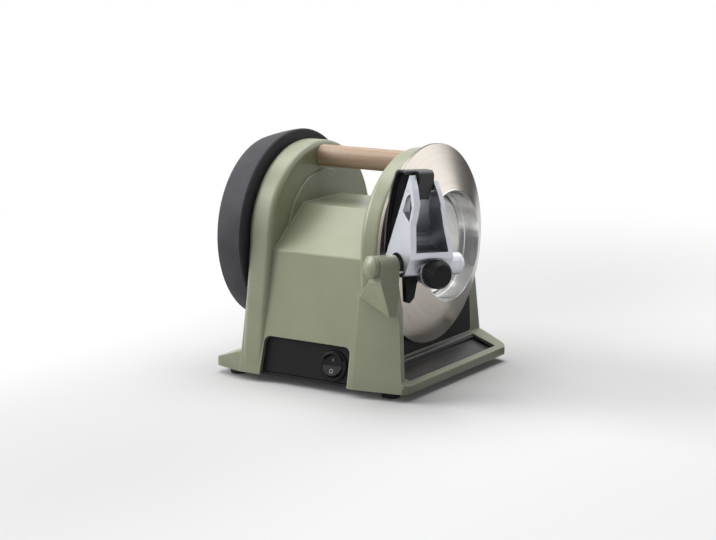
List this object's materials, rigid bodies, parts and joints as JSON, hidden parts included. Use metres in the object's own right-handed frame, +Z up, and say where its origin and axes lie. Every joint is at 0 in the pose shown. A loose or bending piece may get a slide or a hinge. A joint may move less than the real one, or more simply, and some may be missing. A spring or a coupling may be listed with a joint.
{
  "type": "electric knife sharpener",
  "caption": "Cast bench sharpener with two arched slabs, a dished diamond wheel with a hinged knife guide, a honing wheel behind and a wooden carrying bar.",
  "frame": {"origin": "centre of the bounding box in plan, on the bench under the feet", "axes": "+X to the right seen from the user's side, +Y to the back along the spindle, +Z up"},
  "size_m": [0.1906, 0.209, 0.1812],
  "materials": {
    "sage_paint": "satin",
    "black_panel": "matte",
    "switch_plastic": "satin",
    "foot_rubber": "matte",
    "beech": "satin",
    "satin_steel": "satin",
    "zinc_steel": "satin",
    "wheel_steel": "satin",
    "honing_composite": "matte",
    "cast_aluminium": "satin",
    "satin_aluminium": "satin",
    "black_sheet": "matte",
    "board_laminate": "satin",
    "pale_plastic": "satin"
  },
  "bodies": {
    "body": {"housing": "sage_paint", "side_panel": "black_panel", "splash_panel": "black_panel", "swarf_tray": "black_panel", "magnetic_strip": "satin_steel", "feet": "foot_rubber", "foot_screws": "zinc_steel", "handle": "beech", "handle_screws": "zinc_steel", "bottom_plate": "black_sheet", "plate_screws": "zinc_steel", "inlet_grommet": "foot_rubber", "switch_bezel": "switch_plastic", "switch_body": "switch_plastic", "motor_can": "satin_steel", "motor_shields": "satin_aluminium", "motor_cradle": "black_sheet", "drive_belt": "foot_rubber", "control_board": "board_laminate", "run_capacitor": "pale_plastic", "front_bearing": "satin_steel", "back_bearing": "satin_steel", "pivot_shaft": "satin_steel", "friction_washer": "black_panel"},
    "spindle_set": {"spindle": "satin_steel", "spindle_pulley": "satin_aluminium", "diamond_wheel": "wheel_steel", "hub_disc": "wheel_steel", "hub_nut": "zinc_steel", "honing_spacer": "satin_steel", "honing_wheel": "honing_composite", "honing_flange": "satin_steel", "honing_nut": "zinc_steel"},
    "rotor": {"rotor_shaft": "satin_steel", "motor_pulley": "satin_aluminium"},
    "rocker": {"switch_rocker": "switch_plastic"},
    "guide": {"guide_casting": "cast_aluminium", "barrel_cap": "cast_aluminium", "index_pointer": "black_panel", "stop_tail": "black_panel", "jaw_pin": "satin_steel", "jaw_spring": "satin_steel", "knob_screw": "zinc_steel"},
    "jaw_body": {"jaw": "black_panel"},
    "knob_body": {"knob": "switch_plastic"}
  },
  "joints": [
    {"name": "spindle_spin", "type": "hinge", "parent": "body", "child": "spindle_set", "pos_m": [0.01136, 0.01054, 0.103], "axis": [0, 1, 0], "continuous": true},
    {"name": "rotor_spin", "type": "hinge", "parent": "body", "child": "rotor", "pos_m": [0.01136, 0.01054, 0.048], "axis": [0, 1, 0], "continuous": true},
    {"name": "rocker_tilt", "type": "hinge", "parent": "body", "child": "rocker", "pos_m": [-0.06627, -0.01186, 0.01986], "axis": [0, -1, 0], "range_deg": [0, 18]},
    {"name": "guide_tilt", "type": "hinge", "parent": "body", "child": "guide", "pos_m": [-0.04915, -0.079, 0.09989], "axis": [0.896, -0.4407, -0.0548], "range_deg": [-6, 8]},
    {"name": "jaw_open", "type": "hinge", "parent": "guide", "child": "jaw_body", "pos_m": [-0.06427, -0.08255, 0.15491], "axis": [0.896, -0.4407, -0.0548], "range_deg": [0, 2], "stiffness_Nm_per_rad": 0.2, "springref_deg": -8.59},
    {"name": "knob_turn", "type": "hinge", "parent": "guide", "child": "knob_body", "pos_m": [-0.06054, -0.09581, 0.09628], "axis": [-0.4399, -0.8976, 0.0269], "range_deg": [-180, 0]}
  ],
  "couplings": [
    {"joint": "rotor_spin", "follows": "spindle_spin", "ratio": 3.125}
  ]
}
